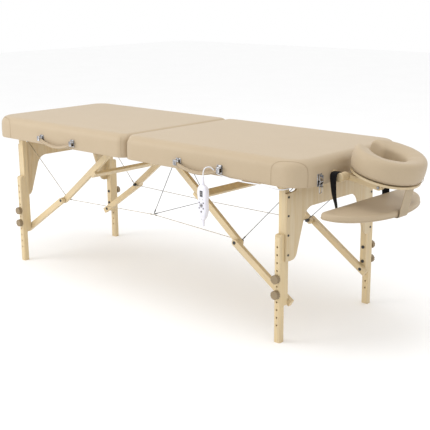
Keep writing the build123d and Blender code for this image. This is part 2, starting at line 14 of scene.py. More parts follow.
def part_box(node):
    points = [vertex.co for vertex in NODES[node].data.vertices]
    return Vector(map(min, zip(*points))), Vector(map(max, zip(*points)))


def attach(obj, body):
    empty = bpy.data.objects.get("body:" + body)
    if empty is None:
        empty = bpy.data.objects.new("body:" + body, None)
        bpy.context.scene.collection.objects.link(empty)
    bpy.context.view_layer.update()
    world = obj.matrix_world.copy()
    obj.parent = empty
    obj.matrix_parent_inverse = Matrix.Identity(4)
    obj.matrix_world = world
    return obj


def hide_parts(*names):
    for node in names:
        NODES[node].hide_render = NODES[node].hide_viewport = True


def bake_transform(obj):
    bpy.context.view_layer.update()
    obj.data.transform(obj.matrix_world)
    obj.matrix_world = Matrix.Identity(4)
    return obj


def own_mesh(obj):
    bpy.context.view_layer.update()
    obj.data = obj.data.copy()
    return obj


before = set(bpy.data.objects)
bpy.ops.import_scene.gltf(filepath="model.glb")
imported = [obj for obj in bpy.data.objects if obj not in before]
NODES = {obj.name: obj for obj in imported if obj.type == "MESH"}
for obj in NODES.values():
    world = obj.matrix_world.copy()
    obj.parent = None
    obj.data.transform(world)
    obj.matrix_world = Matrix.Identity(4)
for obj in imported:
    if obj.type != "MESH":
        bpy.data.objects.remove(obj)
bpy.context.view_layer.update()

bl_info = {
    "name": "Massage Table Finish",
    "version": (1, 0, 0),
    "blender": (4, 5, 0),
    "location": "3D View > Sidebar > Massage Table",
    "description": "Upholstery, wood, fittings, cord and stage of a folding massage table",
    "category": "Object",
}

MM = 0.001
DECK_TOP = 695.2
PIN_LOW, PIN_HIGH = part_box("fold_pins")
HINGE = Vector(((PIN_LOW.x + PIN_HIGH.x) / 2, (PIN_LOW.y + PIN_HIGH.y) / 2, 0))
HALVES = (("foot", -1), ("head", 1))
SIDES = (("near", -1), ("far", 1))


def at(x, y, z):
    """A point given in millimetres from the centre hinge, in the row frame."""
    return HINGE + Vector((x, y, z)) * MM


def from_hinge(point):
    """A point of the row frame, in millimetres from the centre hinge."""
    return (Vector(point) - HINGE) / MM


def box_of(node):
    """Lowest and highest corners of a CAD node, in millimetres from the hinge."""
    low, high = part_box(node)
    return from_hinge(low), from_hinge(high)


TOP_LOW, TOP_HIGH = box_of("head_cushion")
SHELF_LOW, SHELF_HIGH = box_of("arm_shelf")
GRIP_LOW, GRIP_HIGH = box_of("head_handle_grip")


# ---------------------------------------------------------------- settings


def colour_setting(name, text, default):
    """A colour property, given in linear light."""
    return bpy.props.FloatVectorProperty(
        name=name, description=text, subtype="COLOR", size=3, min=0, max=1, default=default
    )


def length_setting(name, text, millimetres):
    """A length property, kept in metres."""
    return bpy.props.FloatProperty(
        name=name, description=text, subtype="DISTANCE", unit="LENGTH", default=millimetres * MM
    )


class UpholsteryColours(bpy.types.PropertyGroup):
    """Colours of the soft pieces."""

    vinyl: colour_setting("Vinyl", "Main tone of the vinyl cover", (0.475, 0.375, 0.252))
    vinyl_deep: colour_setting("Deep vinyl", "Tone in the vinyl's hollows", (0.463, 0.363, 0.242))
    seam: colour_setting("Seam", "Thread and folded edge of the seams", (0.36, 0.27, 0.17))
    webbing: colour_setting("Webbing", "Black woven straps", (0.008, 0.008, 0.009))
    front_strap: colour_setting("Front strap", "Vinyl strap of the shelf", (0.42, 0.33, 0.21))


class WoodColours(bpy.types.PropertyGroup):
    """Colours of the wooden pieces."""

    light: colour_setting("Early wood", "Light tone of the lacquered wood", (0.66, 0.52, 0.3))
    dark: colour_setting("Late wood", "Dark tone of the grain", (0.575, 0.465, 0.3))
    panel: colour_setting("Panel", "Face veneer of the plywood", (0.62, 0.51, 0.335))
    panel_dark: colour_setting("Panel grain", "Darker veneer figure", (0.57, 0.43, 0.235))
    knob: colour_setting("Knob", "Moulded height knobs", (0.27, 0.2, 0.115))


class TableSizes(bpy.types.PropertyGroup):
    """Sizes that change how the soft pieces look."""

    roll: length_setting("Edge roll", "Radius of the top's padded edge", 38)
    hinge_roll: length_setting("Hinge roll", "Radius of the edge at the centre fold", 24)
    crown: length_setting("Crown", "How far the top rises to its middle", 3)
    seam: length_setting("Seam", "Radius of a seam's raised thread", 0.9)
    wire: length_setting("Wire", "Radius of the support wires", 1.4)
    strap_width: length_setting("Strap", "Width of the black webbing", 30)
    front_width: length_setting("Front strap", "Width of the beige strap", 60)
    grip_height: length_setting("Grip", "Height of the handle's padding", 14)
    wood_edge: length_setting("Wood edge", "Rounding of the legs' and braces' edges", 2.4)


# ---------------------------------------------------------------- materials


def shader(name, roughness, metallic=0.0):
    """A new material and its node tree, with the shader's plain values set on it."""
    material = bpy.data.materials.new(name)
    material.use_nodes = True
    tree = material.node_tree
    principled = tree.nodes["Principled BSDF"]
    principled.inputs["Roughness"].default_value = roughness
    principled.inputs["Metallic"].default_value = metallic
    return material, tree, principled


def node(tree, kind, links=(), **values):
    """A node with its settings; links are (socket name, output socket) pairs."""
    made = tree.nodes.new(kind)
    for key, value in values.items():
        if hasattr(made, key):
            setattr(made, key, value)
        else:
            made.inputs[key.replace("_", " ")].default_value = value
    for socket, output in links:
        tree.links.new(output, made.inputs[socket])
    return made


def pattern_space(tree, turn=(0, 0, 0), scale=(1, 1, 1)):
    """Object coordinates turned, then stretched, by a Mapping node."""
    place = tree.nodes.new("ShaderNodeTexCoord")
    mapping = tree.nodes.new("ShaderNodeMapping")
    mapping.vector_type = "TEXTURE"
    mapping.inputs["Rotation"].default_value = turn
    mapping.inputs["Scale"].default_value = [1 / along for along in scale]
    tree.links.new(place.outputs["Object"], mapping.inputs["Vector"])
    return mapping.outputs["Vector"]


def two_tones(tree, factor, dark, light, low=0.3, high=0.7):
    """A colour ramp from one tone to another."""
    ramp = node(tree, "ShaderNodeValToRGB", [("Fac", factor)])
    ramp.color_ramp.elements[0].position = low
    ramp.color_ramp.elements[0].color = (*dark, 1)
    ramp.color_ramp.elements[1].position = high
    ramp.color_ramp.elements[1].color = (*light, 1)
    return ramp.outputs["Color"]


def blended(tree, first, second, factor, kind="MIX"):
    """Two colours mixed by a fixed or linked factor."""
    mix = tree.nodes.new("ShaderNodeMix")
    mix.data_type = "RGBA"
    mix.blend_type = kind
    if isinstance(factor, float):
        mix.inputs["Factor"].default_value = factor
    else:
        tree.links.new(factor, mix.inputs["Factor"])
    tree.links.new(first, mix.inputs["A"])
    tree.links.new(second, mix.inputs["B"])
    return mix.outputs["Result"]


def raised(tree, principled, height, distance, strength=1.0):
    """Bump from a height pattern, in metres."""
    bump = node(tree, "ShaderNodeBump", [("Height", height)])
    bump.inputs["Distance"].default_value = distance
    bump.inputs["Strength"].default_value = strength
    tree.links.new(bump.outputs["Normal"], principled.inputs["Normal"])


def uneven_gloss(tree, principled, factor, low, high):
    """Roughness that wanders between two values with a pattern."""
    spread = node(tree, "ShaderNodeMapRange", [("Value", factor)])
    spread.inputs["To Min"].default_value = low
    spread.inputs["To Max"].default_value = high
    tree.links.new(spread.outputs["Result"], principled.inputs["Roughness"])


def vinyl_material(name, light, deep):
    """Soft embossed vinyl: a fine pebble grain, faint blotches and an even low sheen."""
    material, tree, principled = shader(name, 0.5)
    space = pattern_space(tree)
    blotch = node(tree, "ShaderNodeTexNoise", [("Vector", space)], Scale=9.0, Detail=3.0)
    pebble = node(tree, "ShaderNodeTexVoronoi", [("Vector", space)], Scale=720.0)
    fine = node(tree, "ShaderNodeTexNoise", [("Vector", space)], Scale=1500.0, Detail=2.0)
    tone = two_tones(tree, blotch.outputs["Fac"], deep, light, 0.15, 0.6)
    pores = two_tones(tree, pebble.outputs["Distance"], (1, 1, 1), (0.93, 0.92, 0.9), 0.3, 0.75)
    tree.links.new(blended(tree, tone, pores, 1.0, "MULTIPLY"), principled.inputs["Base Color"])
    uneven_gloss(tree, principled, fine.outputs["Fac"], 0.42, 0.6)
    raised(tree, principled, pebble.outputs["Distance"], 0.00025, 0.5)
    principled.inputs["Sheen Weight"].default_value = 0.08
    principled.inputs["Specular IOR Level"].default_value = 0.4
    return material


def wood_material(name, light, dark, turn=(0, 0, 0), plies=False):
    """Clear-lacquered wood with its grain along the turned X axis, and glued plies if asked."""
    material, tree, principled = shader(name, 0.42)
    broad = pattern_space(tree, turn, (3.2, 46, 46))
    fibre = pattern_space(tree, turn, (14, 620, 620))
    fleck = pattern_space(tree, turn, (95, 420, 420))
    wander = {"Scale": 1.0, "Detail": 5.0, "Distortion": 0.7}
    figure = node(tree, "ShaderNodeTexNoise", [("Vector", broad)], **wander)
    fibres = node(tree, "ShaderNodeTexNoise", [("Vector", fibre)], Scale=1.0, Detail=3.0)
    flecks = node(tree, "ShaderNodeTexVoronoi", [("Vector", fleck)], Scale=1.0)
    tone = two_tones(tree, figure.outputs["Fac"], dark, light, 0.28, 0.6)
    lines = two_tones(tree, fibres.outputs["Fac"], (0.9, 0.87, 0.82), (1, 1, 1), 0.34, 0.58)
    rays = two_tones(tree, flecks.outputs["Distance"], (0.88, 0.82, 0.74), (1, 1, 1), 0.05, 0.2)
    tone = blended(tree, tone, lines, 0.8, "MULTIPLY")
    tone = blended(tree, tone, rays, 0.6, "MULTIPLY")
    if plies:
        layers = node(
            tree,
            "ShaderNodeTexWave",
            [("Vector", pattern_space(tree, turn))],
            wave_type="BANDS",
            bands_direction="Z",
            Scale=118.0,
            Distortion=0.0,
        )
        glue = two_tones(tree, layers.outputs["Fac"], (0.62, 0.52, 0.42), (1, 1, 1), 0.02, 0.3)
        tone = blended(tree, tone, glue, 0.55, "MULTIPLY")
    tree.links.new(tone, principled.inputs["Base Color"])
    uneven_gloss(tree, principled, fibres.outputs["Fac"], 0.34, 0.52)
    raised(tree, principled, fibres.outputs["Fac"], 0.00012, 0.35)
    principled.inputs["Coat Weight"].default_value = 0.15
    principled.inputs["Coat Roughness"].default_value = 0.25
    return material


def plated_material(name, tint, roughness, wear=0.08):
    """Plated steel with soft polishing marks."""
    material, tree, principled = shader(name, roughness, metallic=1.0)
    space = pattern_space(tree, scale=(1, 1, 0.25))
    marks = node(tree, "ShaderNodeTexNoise", [("Vector", space)], Scale=160.0, Detail=4.0)
    tone = two_tones(tree, marks.outputs["Fac"], [c * 0.35 for c in tint], tint, 0.36, 0.6)
    tree.links.new(tone, principled.inputs["Base Color"])
    uneven_gloss(tree, principled, marks.outputs["Fac"], roughness, roughness + wear)
    raised(tree, principled, marks.outputs["Fac"], 0.00005, 0.3)
    return material


def moulded_material(name, tint, roughness, grain=900.0, coat=0.0):
    """Moulded plastic or rubber with a fine spark grain."""
    material, tree, principled = shader(name, roughness)
    space = pattern_space(tree)
    spark = node(tree, "ShaderNodeTexNoise", [("Vector", space)], Scale=grain, Detail=3.0)
    cloud = node(tree, "ShaderNodeTexNoise", [("Vector", space)], Scale=40.0, Detail=2.0)
    tone = two_tones(tree, cloud.outputs["Fac"], [c * 0.93 for c in tint], tint, 0.3, 0.65)
    tree.links.new(tone, principled.inputs["Base Color"])
    uneven_gloss(tree, principled, spark.outputs["Fac"], roughness - 0.06, roughness + 0.08)
    raised(tree, principled, spark.outputs["Fac"], 0.00008, 0.3)
    principled.inputs["Coat Weight"].default_value = coat
    return material


def woven_material(name, tint, pitch, turn=(0, 0, 0)):
    """Webbing with ribs across it and a finer weave along it."""
    material, tree, principled = shader(name, 0.75)
    space = pattern_space(tree, turn)
    wave = {"wave_type": "BANDS", "Distortion": 0.4, "Scale": 0.314 / pitch}
    ribs = node(tree, "ShaderNodeTexWave", [("Vector", space)], bands_direction="Z", **wave)
    rows = node(tree, "ShaderNodeTexWave", [("Vector", space)], bands_direction="X", **wave)
    weave = blended(tree, ribs.outputs["Color"], rows.outputs["Color"], 0.4)
    dark = [c * 0.45 for c in tint]
    tree.links.new(two_tones(tree, weave, dark, tint, 0.2, 0.7), principled.inputs["Base Color"])
    raised(tree, principled, weave, 0.0004, 0.7)
    principled.inputs["Specular IOR Level"].default_value = 0.15
    return material


def make_materials(scene):
    """Every finish of the table, by plain name."""
    soft, wood = scene.table_upholstery, scene.table_wood
    made = {
        "vinyl": vinyl_material("vinyl_cover", soft.vinyl, soft.vinyl_deep),
        "seam": moulded_material("seam_thread", soft.seam, 0.7),
        "webbing": woven_material("black_webbing", soft.webbing, 0.0016),
        "front_strap": vinyl_material(
            "strap_vinyl", soft.front_strap, [c * 0.85 for c in soft.front_strap]
        ),
        "upright": wood_material("upright_beech", wood.light, wood.dark, (0, math.radians(90), 0)),
        "rail": wood_material("rail_beech", wood.light, wood.dark),
        "turned": wood_material("cross_beech", wood.light, wood.dark, (0, 0, math.radians(90))),
        "panel": wood_material(
            "panel_plywood", wood.panel, wood.panel_dark, (0, math.radians(90), 0), plies=True
        ),
        "deck": wood_material(
            "platform_plywood", wood.panel, wood.panel_dark, (0, math.radians(15), 0), plies=True
        ),
        "knob": moulded_material("knob_resin", wood.knob, 0.5, grain=500.0),
        "chrome": plated_material("chrome_plate", (0.6, 0.6, 0.62), 0.12),
        "zinc": plated_material("zinc_plate", (0.5, 0.5, 0.52), 0.32),
        "black": moulded_material("black_steel", (0.014, 0.014, 0.016), 0.4, coat=0.2),
        "light_wire": plated_material("pale_wire", (0.5, 0.43, 0.32), 0.42),
        "dark_wire": plated_material("dark_wire", (0.12, 0.115, 0.11), 0.4),
        "white": moulded_material("white_shell", (0.78, 0.77, 0.84), 0.34, coat=0.3),
        "cord": moulded_material("white_cord", (0.8, 0.8, 0.83), 0.45),
        "key": moulded_material("grey_key", (0.2, 0.19, 0.19), 0.5),
        "glass": moulded_material("display_glass", (0.05, 0.05, 0.055), 0.15, coat=0.8),
    }
    for side, sign in HALVES:
        slope = sign * math.radians(38)
        made[side + "_brace"] = wood_material(
            side + "_brace_beech", wood.light, wood.dark, (0, slope, 0)
        )
    return made


FINISH = {}


# ---------------------------------------------------------------- mesh tools


def finished(name, bm, finish, body, sharp=40, clean=True):
    """A mesh made an object with its material, riding on a CAD body."""
    if clean:
        bmesh.ops.remove_doubles(bm, verts=bm.verts, dist=1e-6)
        bmesh.ops.recalc_face_normals(bm, faces=bm.faces)
    mesh = bpy.data.meshes.new(name)
    bm.to_mesh(mesh)
    bm.free()
    mesh.shade_smooth()
    if sharp:
        mesh.set_sharp_from_angle(angle=math.radians(sharp))
    piece = bpy.data.objects.new(name, mesh)
    bpy.context.scene.collection.objects.link(piece)
    mesh.materials.append(FINISH[finish])
    if body:
        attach(piece, body)
    return piece


def pulled_out(bm, ring, points):
    """Extrude a closed ring of vertices and set the new ring on the given points."""
    edges = [bm.edges.get(pair) for pair in zip(ring, ring[1:] + ring[:1])]
    made = bmesh.ops.extrude_edge_only(bm, edges=edges)["geom"]
    fresh = {v for v in made if isinstance(v, bmesh.types.BMVert)}
    grown = []
    for vertex, point in zip(ring, points):
        beside = (edge.other_vert(vertex) for edge in vertex.link_edges)
        other = next(vertex for vertex in beside if vertex in fresh)
        other.co = point
        grown.append(other)
    return grown


def lofted(bm, rings, closed=False):
    """A skin through rings of points, capped at its two ends unless it is closed."""
    circle = bmesh.ops.create_circle(bm, segments=len(rings[0]), radius=1)["verts"]
    ring = [circle[0]]
    while len(ring) < len(circle):
        beside = [edge.other_vert(ring[-1]) for edge in ring[-1].link_edges]
        ring.append(next(vertex for vertex in beside if vertex not in ring))
    for vertex, point in zip(ring, rings[0]):
        vertex.co = point
    first = ring
    for points in rings[1:]:
        ring = pulled_out(bm, ring, points)
    if closed:
        loops = [bm.edges.get(pair) for pair in zip(ring, ring[1:] + ring[:1])]
        loops += [bm.edges.get(pair) for pair in zip(first, first[1:] + first[:1])]
        bmesh.ops.bridge_loops(bm, edges=loops)
    else:
        for end in (first, ring):
            bmesh.ops.contextual_create(bm, geom=end)


def directions(path):
    """Unit direction of a path at each of its points."""
    ends = zip([path[0], *path[:-1]], [*path[1:], path[-1]])
    return [(after - before).normalized() for before, after in ends]


def smooth_path(points, steps=6):
    """Points on a soft curve through the given ones."""
    path = []
    stops = [points[0], *points, points[-1]]
    for a, b, c, d in zip(stops, stops[1:], stops[2:], stops[3:]):
        for k in range(steps):
            t = k / steps
            bend, twist = 2 * a - 5 * b + 4 * c - d, 3 * b - a - 3 * c + d
            path.append(0.5 * (2 * b + (c - a) * t + bend * t**2 + twist * t**3))
    return [*path, points[-1]]


def swept_rings(path, section, wide, turn=lambda t: 0.0, size=lambda t: 1.0):
    """Rings of a section carried along a path; wide is the direction of its width."""
    rings = []
    steps = len(path) - 1
    for k, (point, ahead) in enumerate(zip(path, directions(path))):
        across = (wide - wide.project(ahead)).normalized()
        across = Matrix.Rotation(turn(k / steps), 3, ahead) @ across
        up = ahead.cross(across)
        scale = size(k / steps)
        rings.append([point + (across * x + up * y) * scale for x, y in section])
    return rings


def round_section(radius, sides=10):
    """A circle's points, in metres."""
    turns = [math.tau * k / sides for k in range(sides)]
    return [(radius * math.cos(a), radius * math.sin(a)) for a in turns]


def oval_section(width, height, power=1.0, sides=16):
    """A rounded box's points in metres; a power under 1 squares it off."""
    points = []
    for k in range(sides):
        c, s = math.cos(math.tau * k / sides), math.sin(math.tau * k / sides)
        points.append(
            (
                width / 2 * math.copysign(abs(c) ** power, c),
                height / 2 * math.copysign(abs(s) ** power, s),
            )
        )
    return points


def tube(bm, path, radius, sides=10):
    """A round bar along a path."""
    wide = Vector((0, 0, 1))
    if abs(directions(path)[0].z) > 0.8:
        wide = Vector((1, 0, 0))
    lofted(bm, swept_rings(path, round_section(radius, sides), wide))


def button(bm, centre, axis, radius, height, dome=0.35):
    """A low round head, domed, standing on a face at its centre."""
    axis = Vector(axis).normalized()
    profile = [(0.0, 1.0), (0.55, 1.0), (0.85, 1 - dome * 0.6), (1.0, 1 - dome)]
    path = [centre + axis * height * MM * rise for rise, _ in profile]
    wide = axis.orthogonal()
    up = axis.cross(wide)
    rings = []
    for point, (_, scale) in zip(path, profile):
        rings.append([point + (wide.normalized() * x + up.normalized() * y) * scale
                      for x, y in round_section(radius * MM, 14)])
    lofted(bm, rings)


def plate(bm, low, high, round_by=1.5, segments=3):
    """A box between two corners, in millimetres, with every edge rounded."""
    made = bmesh.ops.create_cube(bm, size=1)["verts"]
    size = [(b - a) * MM for a, b in zip(low, high)]
    middle = at(*[(a + b) / 2 for a, b in zip(low, high)])
    bmesh.ops.scale(bm, vec=size, verts=made)
    bmesh.ops.translate(bm, vec=middle, verts=made)
    edges = list(dict.fromkeys(e for v in made for e in v.link_edges))
    bmesh.ops.bevel(
        bm,
        geom=edges,
        offset=round_by * MM,
        offset_type="OFFSET",
        affect="EDGES",
        segments=segments,
        profile=0.5,
        material=-1,
        clamp_overlap=True,
    )


# ---------------------------------------------------------------- cushions


def corner_outline(x0, x1, half, radii, steps=10, along=14, across=10):
    """Points and outward normals round a rectangle with four rounded corners."""
    corners = [(x0, -half), (x1, -half), (x1, half), (x0, half)]
    inward = [(1, 1), (-1, 1), (-1, -1), (1, -1)]
    places = []
    arcs = []
    for k, ((x, y), (ix, iy), radius) in enumerate(zip(corners, inward, radii)):
        cx, cy = x + ix * radius, y + iy * radius
        start = math.pi + k * math.pi / 2
        arc = []
        for step in range(steps + 1):
            a = start + step / steps * math.pi / 2
            c, s = math.cos(a), math.sin(a)
            arc.append((cx + radius * c, cy + radius * s, c, s))
        arcs.append(arc)
    for k, arc in enumerate(arcs):
        places += arc
        last, first = arc[-1], arcs[(k + 1) % 4][0]
        count = along if k % 2 == 0 else across
        for step in range(1, count):
            t = step / count
            places.append(tuple(a + (b - a) * t for a, b in zip(last, first)))
    return places


class TopPad:
    """The padded top of one half: where its cover runs, from hem to middle."""

    def __init__(self, sign, sizes):
        self.sign = sign
        self.end = TOP_HIGH.x
        self.half = TOP_HIGH.y
        self.low, self.top = TOP_LOW.z, TOP_HIGH.z - 2
        self.roll, self.hinge_roll = sizes.roll / MM, sizes.hinge_roll / MM
        self.crown = sizes.crown / MM
        self.outline = corner_outline(1, self.end, self.half, (45, 90, 90, 45))
        self.middle = (self.end / 2, 0)

    def roll_at(self, nx):
        """The edge's radius: small where the cover faces the centre fold."""
        facing = max(0.0, -nx) ** 8
        return self.roll + (self.hinge_roll - self.roll) * facing

    def place(self, x, y, z):
        """A point of the head half, or its mirror image on the foot half."""
        return at(self.sign * x, y, z)

    def on_cover(self, spot, length):
        """The cover at a run from the hem, up the side and over the roll."""
        x, y, nx, ny = spot
        roll = self.roll_at(nx)
        wall = self.top - roll - self.low
        if length <= wall:
            swell = 1.2 * math.sin(math.pi * length / wall)
            return self.place(x + nx * swell, y + ny * swell, self.low + length)
        turn = min(math.pi / 2, (length - wall) / roll)
        inset = roll * (1 - math.cos(turn))
        return self.place(x - nx * inset, y - ny * inset, self.top - roll * (1 - math.sin(turn)))

    def ring(self, inset, z):
        return [self.place(x - nx * inset, y - ny * inset, z) for x, y, nx, ny in self.outline]

    def rings(self):
        """From the middle of the foam's underside, round the hem, to the middle of the top."""
        cx, cy = self.middle
        deck = DECK_TOP
        inner = [
            self.place(cx + (x - cx) * 0.1, cy + (y - cy) * 0.1, deck) for x, y, *_ in self.outline
        ]
        rings = [inner, self.ring(3.9, deck), self.ring(3.9, self.low - 0.1)]
        rings += [self.ring(14, self.low - 0.1), self.ring(14, self.low - 1.4)]
        rings += [self.ring(2.5, self.low - 1.4), self.ring(0.6, self.low - 0.6)]
        for step in range(6):
            share = (step + 0.2) / 5.2
            rings.append([
                self.on_cover(spot, (self.top - self.roll_at(spot[2]) - self.low) * share)
                for spot in self.outline
            ])
        for step in range(1, 10):
            turn = step / 9 * math.pi / 2
            ring = []
            for spot in self.outline:
                roll = self.roll_at(spot[2])
                ring.append(self.on_cover(spot, self.top - roll - self.low + roll * turn))
            rings.append(ring)
        for share in (0.05, 0.12, 0.22, 0.36, 0.52, 0.68, 0.82, 0.93):
            ring = []
            for x, y, nx, ny in self.outline:
                roll = self.roll_at(nx)
                px, py = x - nx * roll, y - ny * roll
                rise = self.crown * (1 - (1 - share) ** 2)
                inner_x, inner_y = px + (cx - px) * share, py + (cy - py) * share
                ring.append(self.place(inner_x, inner_y, self.top + rise))
            rings.append(ring)
        return rings

    def seam(self, bm, spots, radius):
        """A raised thread over (outline place, run from the hem) pairs."""
        path = []
        for place, length in spots:
            k = int(place) % len(self.outline)
            after = self.outline[(k + 1) % len(self.outline)]
            share = place - int(place)
            spot = [a + (b - a) * share for a, b in zip(self.outline[k], after)]
            path.append(self.on_cover(spot, length))
        tube(bm, path, radius, 6)

    def outline_place(self, travel, corner):
        """Where on the outline a run of millimetres from a corner's arc start falls."""
        step = 1 if travel > 0 else -1
        k, left = corner, abs(travel)
        count = len(self.outline)
        while True:
            a, b = self.outline[k % count], self.outline[(k + step) % count]
            gap = math.hypot(a[0] - b[0], a[1] - b[1])
            if left <= gap:
                return (k + step * left / gap) % count
            left -= gap
            k += step


# places along a half's outline: where each outer corner's arc starts, and which way it runs
OUTER_CORNERS = ((25, 1), (55, -1))
HINGE_SEAM = 6.2


def top_cushions(sizes):
    """The two padded halves of the top, with their sewn corner panels."""
    for side, sign in HALVES:
        pad = TopPad(sign, sizes)
        bm = bmesh.new()
        lofted(bm, pad.rings())
        noise.seed_set(11 + sign)
        for vertex in bm.verts:
            spot = vertex.co * 7
            vertex.co += noise.noise_vector(spot) * 0.0006
        cushion = finished(side + "_cushion_cover", bm, "vinyl", side + "_half", sharp=0)
        soften = cushion.modifiers.new("soften", "SUBSURF")
        soften.levels = soften.render_levels = 1
        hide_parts(side + "_cushion")
        bm = bmesh.new()
        for corner, way in OUTER_CORNERS:
            arch_seam(bm, pad, corner, way, sizes.seam)
        for spot in (HINGE_SEAM, len(pad.outline) - 9 - HINGE_SEAM):
            pad.seam(bm, [(spot, length) for length in range(2, 100, 7)], sizes.seam * 0.8)
        finished(side + "_cushion_seams", bm, "seam", side + "_half", sharp=0)


def arch_seam(bm, pad, corner, way, radius):
    """The arch-shaped seam of a corner panel, from hem to hem."""
    before, after, shoulder, peak = 60, 93, 50, 102
    middle, half = (after - before) / 2, (after + before) / 2
    spots = []
    for k in range(49):
        t = k / 48 * math.pi
        travel = middle - half * math.copysign(abs(math.cos(t)) ** 0.8, math.cos(t))
        run = shoulder + (peak - shoulder) * math.sin(t) ** 0.75 if 0 < k < 48 else shoulder
        spots.append((pad.outline_place(way * travel, corner), run))
    first, last = spots[0][0], spots[-1][0]
    rise = range(2, shoulder, 8)
    spots = [(first, run) for run in rise] + spots + [(last, run) for run in reversed(rise)]
    pad.seam(bm, spots, radius)


# ---------------------------------------------------------------- face cradle


PILLOW = (1122, 0, 712)
PILLOW_TILT = math.radians(15)
PILLOW_HALF = (139, 150, 42.5)
OPENING_HALF, OPENING_SHIFT = (70, 62), -8


def in_pillow(x, y, z):
    """A point of the pillow's own tilted axes."""
    c, s = math.cos(PILLOW_TILT), math.sin(PILLOW_TILT)
    return at(PILLOW[0] + x * c + z * s, PILLOW[1] + y, PILLOW[2] - x * s + z * c)


def radius_of(ax, ay, angle, shift=0.0):
    """Distance from the pillow's middle to an ellipse, along an angle."""
    c, s = math.cos(angle), math.sin(angle)
    a = c * c / ax**2 + s * s / ay**2
    b = -2 * c * shift / ax**2
    rest = shift**2 / ax**2 - 1
    return (-b + math.sqrt(b * b - 4 * a * rest)) / (2 * a)


def pillow_point(share, reach, height):
    """Share runs along the horseshoe from -1 to 1, reach from its hole to its rim."""
    angle = share * math.radians(147 + 15 * reach)
    inner = radius_of(*OPENING_HALF, angle, OPENING_SHIFT)
    outer = radius_of(PILLOW_HALF[0], PILLOW_HALF[1], angle)
    r = inner + (outer - inner) * reach
    return in_pillow(r * math.cos(angle), r * math.sin(angle), height)


def pillow_section(share, shrink=1.0):
    """One ring of the pillow: upright outside, rounded rim, sloping in to the hole."""
    ring = []
    sides = 30
    for k in range(sides):
        c, s = math.cos(math.tau * k / sides), math.sin(math.tau * k / sides)
        reach = 0.5 + 0.5 * shrink * math.copysign(abs(c) ** 0.55, c)
        height = PILLOW_HALF[2] * shrink * math.copysign(abs(s) ** (0.5 if s > 0 else 0.35), s)
        if s > 0:
            height -= 15 * (1 - reach) ** 1.6 * s
            height += (5 - 2 * reach**8) * s
        bulge = 0.02 * math.sin(math.pi * (height / PILLOW_HALF[2] + 1) / 2)
        reach += bulge * math.copysign(1, c) * abs(c)
        wrinkle = noise.noise(Vector((share * 9, reach * 2.2, height * 0.02)))
        ring.append(pillow_point(share, reach, height + 1.3 * wrinkle * max(s, 0)))
    return ring


def face_pillow():
    """The horseshoe pillow and its hem welt."""
    rings = []
    end = 0.07
    for k in range(7):
        turn = math.pi / 2 * k / 6
        rings.append((-(1 - end + end * math.cos(turn)), 0.55 + 0.45 * math.sin(turn)))
    rings += [(-(1 - end) + 2 * (1 - end) * k / 56, 1.0) for k in range(1, 56)]
    rings += [(-share, shrink) for share, shrink in reversed(rings[:7])]
    bm = bmesh.new()
    lofted(bm, [pillow_section(share, shrink) for share, shrink in rings])
    pillow = finished("face_pillow_cover", bm, "vinyl", "head_rest", sharp=0)
    soften = pillow.modifiers.new("soften", "SUBSURF")
    soften.levels = soften.render_levels = 1
    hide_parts("face_pillow")
    bm = bmesh.new()
    path = [pillow_point(-0.93 + 1.86 * k / 60, 1.008, -33) for k in range(61)]
    tube(bm, path, 0.8 * MM, 6)
    finished("face_pillow_seam", bm, "seam", "head_rest", sharp=0)


# ---------------------------------------------------------------- arm shelf


def shelf_outline(tip=24):
    """Points and outward normals round the half-moon shelf, in its own plane."""
    depth = (SHELF_HIGH.x - SHELF_LOW.x) * 0.995
    wide, deep = SHELF_HIGH.y - tip, depth - 2 * tip
    spots = []
    for k in range(45):
        t = math.pi * k / 44
        out = Vector((math.sin(t) / deep, math.cos(t) / wide)).normalized()
        spots.append((tip + deep * math.sin(t), wide * math.cos(t), out.x, out.y))
    for k in range(1, 7):
        t = math.pi / 2 * k / 6
        spots.append((tip, -wide, -math.sin(t), -math.cos(t)))
    spots += [(tip, -wide + 2 * wide * k / 16, -1, 0) for k in range(1, 16)]
    for k in range(6):
        t = math.pi / 2 * k / 6
        spots.append((tip, wide, -math.cos(t), math.sin(t)))
    return [(x + nx * tip, y + ny * tip, nx, ny) for x, y, nx, ny in spots]


def in_shelf(x, y, z):
    """A point of the shelf's own axes, a little tilted away from the table."""
    tilt = math.radians(4)
    c, s = math.cos(tilt), math.sin(tilt)
    x0, top = SHELF_LOW.x + 2, 553
    return at(x0 + x * c + z * s, y, top - x * s + z * c)


def shelf_ring(inset, z, shrink=0.0):
    ring = []
    for x, y, nx, ny in shelf_outline():
        length = math.hypot(nx, ny)
        px, py = x - nx / length * inset, y - ny / length * inset
        ring.append(in_shelf(px + (72 - px) * shrink, py * (1 - shrink), z))
    return ring


def arm_shelf(sizes):
    """The padded arm shelf with its welt, and the straps that carry it."""
    profile = [(4, -27.6), (0.9, -26.4), (0, -23), (-0.6, -16)]
    profile += [(0.4, -9), (3, -4.2), (7, -1.6), (12, -0.5)]
    rings = [shelf_ring(4, -27.6, 0.9)]
    rings += [shelf_ring(inset, z) for inset, z in profile]
    crown = ((0.06, 0.2), (0.18, 1.2), (0.36, 2.1), (0.58, 2.8), (0.8, 3.1), (0.95, 3.2))
    for share, rise in crown:
        rings.append(shelf_ring(12, -0.5 + rise, share))
    bm = bmesh.new()
    lofted(bm, rings)
    shelf = finished("arm_shelf_cover", bm, "vinyl", "cradle_base", sharp=0)
    soften = shelf.modifiers.new("soften", "SUBSURF")
    soften.levels = soften.render_levels = 1
    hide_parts("arm_shelf")
    bm = bmesh.new()
    lofted(bm, list(welt_rings()), closed=True)
    finished("arm_shelf_welt", bm, "vinyl", "cradle_base", sharp=0)
    carrying_straps(sizes)


